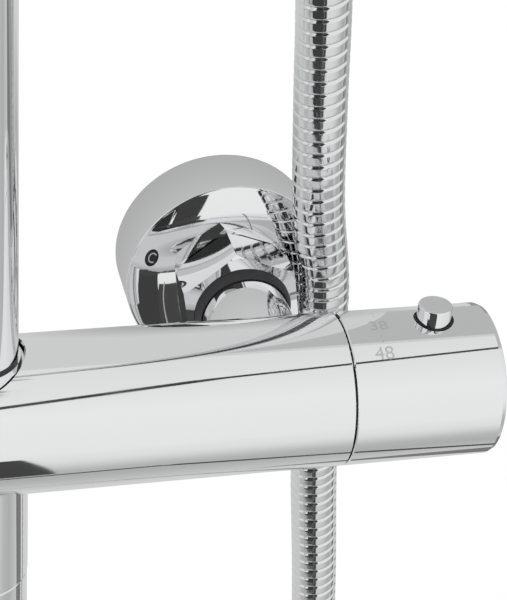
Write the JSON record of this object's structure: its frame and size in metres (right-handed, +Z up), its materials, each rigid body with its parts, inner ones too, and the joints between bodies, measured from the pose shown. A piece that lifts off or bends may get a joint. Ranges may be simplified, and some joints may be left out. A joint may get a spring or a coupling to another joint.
{
  "type": "rainfall shower column",
  "caption": "Thermostatic bar valve on two wall inlets, with a riser, an overhead arm and rain head, a sliding holder, a handset and a coiled metal hose.",
  "frame": {"origin": "on the finished wall, midway between the axes of the two inlets", "axes": "+X to the right of a person facing the wall, towards the cold inlet and the temperature handle; +Y into the wall; +Z up"},
  "size_m": [0.258, 0.5865, 1.5263],
  "materials": {
    "polished_chrome": "mirror-polished chrome plate over brass",
    "chromed_plastic": "bright chrome plate over ABS",
    "brass": "turned brass",
    "stainless_steel": "stainless steel",
    "dark_rubber": "matt black rubber",
    "engineering_plastic": "off-white moulded plastic",
    "stop_ring_red": "red moulded plastic",
    "face_plate_grey": "satin grey spray face",
    "silicone": "soft grey silicone",
    "hose_steel": "polished double-interlock metal hose"
  },
  "bodies": {
    "column": {"valve_body": "polished_chrome", "cold_union": "brass", "hot_union": "brass", "cold_rosette": "polished_chrome", "hot_rosette": "polished_chrome", "cold_union_nut": "polished_chrome", "hot_union_nut": "polished_chrome", "union_nut_rings": "dark_rubber", "inlet_washers": "dark_rubber", "inlet_filters": "stainless_steel", "check_valves": "engineering_plastic", "thermostatic_cartridge": "engineering_plastic", "flow_cartridge": "engineering_plastic", "cartridge_seals": "dark_rubber", "temperature_stop_ring": "stop_ring_red", "riser_collar": "polished_chrome", "riser_seal": "dark_rubber", "riser_lower": "polished_chrome", "riser_sleeve": "brass", "riser_upper": "polished_chrome", "bracket_plate": "stainless_steel", "bracket_screws": "stainless_steel", "bracket_cover": "polished_chrome", "bracket_arm": "polished_chrome", "bracket_grub_screw": "stainless_steel", "hose": "hose_steel", "hose_outlet_nut": "polished_chrome"},
    "cold_poppet": {"cold_poppet": "engineering_plastic"},
    "hot_poppet": {"hot_poppet": "engineering_plastic"},
    "temperature_handle": {"temperature_spindle": "brass", "temperature_knob": "polished_chrome", "temperature_cap": "polished_chrome", "temperature_screw": "stainless_steel", "temperature_button_sleeve": "dark_rubber", "temperature_button_spring": "stainless_steel"},
    "temperature_button": {"temperature_button": "polished_chrome"},
    "flow_handle": {"flow_spindle": "brass", "flow_knob": "polished_chrome", "flow_cap": "polished_chrome", "flow_screw": "stainless_steel", "flow_button_sleeve": "dark_rubber", "flow_button_spring": "stainless_steel"},
    "flow_button": {"flow_button": "polished_chrome"},
    "slider": {"slider_bush": "engineering_plastic"},
    "slider_swivel": {"slider_shell": "chromed_plastic", "holder_pin": "stainless_steel"},
    "clamp_knob": {"slider_clamp_knob": "chromed_plastic"},
    "holder": {"handset_holder": "chromed_plastic"},
    "handset": {"handset_body": "chromed_plastic", "handset_face": "face_plate_grey", "handset_nozzles": "silicone", "hose_cone_nut": "polished_chrome"},
    "ball_seat": {"ball_seat": "engineering_plastic"},
    "rain_head": {"rain_head_shell": "chromed_plastic", "rain_head_face": "face_plate_grey", "rain_head_nozzles": "silicone"}
  },
  "joints": [
    {"name": "temperature_knob_turn", "type": "hinge", "parent": "column", "child": "temperature_handle", "pos_m": [0.11, -0.0725, 0], "axis": [-1, 0, 0], "range_deg": [-120, 40]},
    {"name": "temperature_button_press", "type": "slide", "parent": "temperature_handle", "child": "temperature_button", "axis": [0, 0, -1], "range_m": [0, 0.003], "stiffness_N_per_m": 500, "springref_m": -0.001, "deforming": ["temperature_button_spring"]},
    {"name": "flow_knob_turn", "type": "hinge", "parent": "column", "child": "flow_handle", "pos_m": [-0.11, -0.0725, 0], "axis": [1, 0, 0], "range_deg": [-90, 90]},
    {"name": "flow_button_press", "type": "slide", "parent": "flow_handle", "child": "flow_button", "axis": [0, 0, -1], "range_m": [0, 0.003], "stiffness_N_per_m": 500, "springref_m": -0.001, "deforming": ["flow_button_spring"]},
    {"name": "cold_check_valve_open", "type": "slide", "parent": "column", "child": "cold_poppet", "axis": [0, -1, 0], "range_m": [0, 0.0025], "stiffness_N_per_m": 120, "springref_m": -0.001},
    {"name": "hot_check_valve_open", "type": "slide", "parent": "column", "child": "hot_poppet", "axis": [0, -1, 0], "range_m": [0, 0.0025], "stiffness_N_per_m": 120, "springref_m": -0.001},
    {"name": "slider_slide", "type": "slide", "parent": "column", "child": "slider", "axis": [0, 0, 1], "range_m": [-0.09, 0.12], "deforming": ["hose"]},
    {"name": "slider_swivel", "type": "hinge", "parent": "slider", "child": "slider_swivel", "pos_m": [0, -0.0725, 0.62], "axis": [0, 0, 1], "range_deg": [-75, 45], "deforming": ["hose"]},
    {"name": "clamp_knob_turn", "type": "hinge", "parent": "slider_swivel", "child": "clamp_knob", "pos_m": [0.02425, -0.0585, 0.62], "axis": [0.866, 0.5, 0], "range_deg": [-90, 90]},
    {"name": "holder_tilt", "type": "hinge", "parent": "slider_swivel", "child": "holder", "pos_m": [0.015, -0.09848, 0.62], "axis": [0.866, 0.5, 0], "range_deg": [-8, 15], "deforming": ["hose"]},
    {"name": "handset_lift", "type": "slide", "parent": "holder", "child": "handset", "axis": [0.0868, -0.1504, 0.9848], "range_m": [0, 0.04], "deforming": ["hose"]},
    {"name": "rain_head_tilt", "type": "hinge", "parent": "column", "child": "ball_seat", "pos_m": [0, -0.4525, 0.997], "axis": [1, 0, 0], "range_deg": [-15, 15]},
    {"name": "rain_head_roll", "type": "hinge", "parent": "ball_seat", "child": "rain_head", "pos_m": [0, -0.4525, 0.997], "axis": [0, 1, 0], "range_deg": [-15, 15]}
  ]
}
